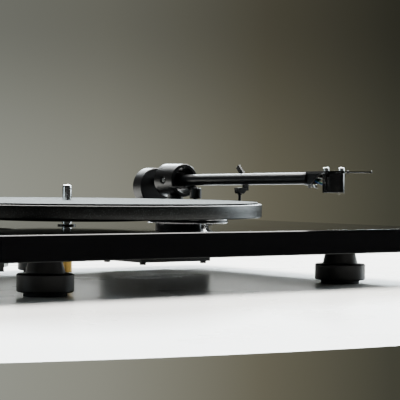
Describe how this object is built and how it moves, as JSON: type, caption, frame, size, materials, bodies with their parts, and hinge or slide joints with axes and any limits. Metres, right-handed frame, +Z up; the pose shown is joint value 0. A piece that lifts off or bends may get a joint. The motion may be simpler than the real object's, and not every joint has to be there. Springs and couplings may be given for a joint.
{
  "type": "turntable record player",
  "caption": "Slim black record player: slab plinth on three feet, belt-driven platter with felt mat, and a straight gimballed arm with offset headshell parked on its rest.",
  "frame": {"origin": "on the shelf, under the middle of the plinth", "axes": "+X to the right along the front edge, +Y towards the back, +Z up"},
  "size_m": [0.415, 0.32, 0.0935],
  "materials": {
    "lacquer": "high gloss black lacquer on fibreboard",
    "black_plastic": "fine satin",
    "black_rubber": "matte",
    "zinc_steel": "zinc plated",
    "polished_steel": "polished",
    "brass": "turned",
    "bronze": "sintered",
    "black_platter": "fine sparkle powder coat",
    "felt": "pressed felt",
    "aluminium": "satin",
    "black_metal": "black satin anodised",
    "black_steel": "satin black paint",
    "carbon_tube": "clear-coated carbon fibre",
    "gloss_black": "polished",
    "gold": "gold plated",
    "lead_red": "pvc",
    "lead_blue": "pvc",
    "lead_green": "pvc",
    "lead_white": "pvc",
    "board": "glass epoxy",
    "socket_red": "plated, red insert",
    "socket_white": "plated, white insert"
  },
  "bodies": {
    "base": {"plinth": "lacquer", "foot_front_left": "black_plastic", "foot_front_right": "black_plastic", "foot_rear": "black_plastic", "foot_pads": "black_rubber", "foot_screws": "zinc_steel", "bearing_housing": "brass", "bearing_bushes": "bronze", "bearing_nut": "brass", "motor_body": "zinc_steel", "motor_bracket": "zinc_steel", "motor_grommet": "black_rubber", "motor_screws": "zinc_steel", "drive_belt": "black_rubber", "switch_housing": "black_plastic", "arm_base": "black_metal", "arm_base_screws": "black_steel", "arm_bearings": "polished_steel", "lift_tower": "black_metal", "armrest_cradle": "black_plastic", "clip_upright": "black_plastic", "connection_box": "black_plastic", "socket_board": "board", "phono_socket_red": "socket_red", "phono_socket_white": "socket_white", "ground_post": "polished_steel", "power_inlet": "black_plastic", "box_screws": "zinc_steel"},
    "turntable": {"spindle_shaft": "polished_steel", "thrust_ball": "polished_steel", "sub_platter": "black_plastic", "platter": "black_platter", "platter_rim": "black_platter", "mat": "felt"},
    "motor_rotor": {"motor_shaft": "polished_steel", "pulley": "aluminium"},
    "rocker": {"power_rocker": "gloss_black"},
    "arm_yoke": {"swing_shaft": "polished_steel", "gimbal_ring": "black_metal", "pivot_screws": "polished_steel"},
    "arm": {"pivot_sleeve": "black_metal", "arm_tube": "carbon_tube", "rear_stub": "aluminium", "headshell": "carbon_tube", "finger_lift": "black_metal", "clamp_screw": "polished_steel", "cartridge_body": "gloss_black", "cartridge_screws": "aluminium", "cartridge_pins": "gold", "stylus_holder": "gloss_black", "cantilever": "aluminium", "lead_red": "lead_red", "lead_blue": "lead_blue", "lead_green": "lead_green", "lead_white": "lead_white"},
    "weight": {"counterweight": "black_steel", "counterweight_screw": "zinc_steel"},
    "lift": {"lift_bar": "aluminium"},
    "lever": {"cue_lever": "polished_steel"},
    "clip": {"arm_clip": "black_plastic"}
  },
  "joints": [
    {"name": "platter_spin", "type": "hinge", "parent": "base", "child": "turntable", "pos_m": [-0.0475, 0, 0.044], "axis": [0, 0, -1], "continuous": true},
    {"name": "motor_spin", "type": "hinge", "parent": "base", "child": "motor_rotor", "pos_m": [-0.1495, -0.044, 0.044], "axis": [0, 0, -1], "continuous": true},
    {"name": "arm_swing", "type": "hinge", "parent": "base", "child": "arm_yoke", "pos_m": [0.1295, 0.095, 0.0791], "axis": [0, 0, -1], "range_deg": [0, 47]},
    {"name": "arm_tilt", "type": "hinge", "parent": "arm_yoke", "child": "arm", "pos_m": [0.1295, 0.095, 0.0791], "axis": [-1, 0, 0], "range_deg": [-1.3, 10]},
    {"name": "counterweight_slide", "type": "slide", "parent": "arm", "child": "weight", "axis": [0, 0.9998, -0.0175], "range_m": [-0.004, 0.004]},
    {"name": "cue_lever_turn", "type": "hinge", "parent": "base", "child": "lever", "pos_m": [0.1295, 0.07018, 0.0504], "axis": [1, 0, 0], "range_deg": [0, 23]},
    {"name": "cue_lift", "type": "slide", "parent": "base", "child": "lift", "axis": [0, 0, 1], "range_m": [-0.005, 0]},
    {"name": "arm_clip_turn", "type": "hinge", "parent": "base", "child": "clip", "pos_m": [0.13675, 0.006, 0.07815], "axis": [1, 0, 0], "range_deg": [0, 70]},
    {"name": "power_rocker_turn", "type": "hinge", "parent": "base", "child": "rocker", "pos_m": [-0.19, -0.12, 0.02], "axis": [-1, 0, 0], "range_deg": [0, 14]}
  ],
  "couplings": [
    {"joint": "motor_spin", "follows": "platter_spin", "ratio": 7.5014},
    {"joint": "cue_lift", "follows": "cue_lever_turn", "m_per_rad": -0.012456}
  ]
}
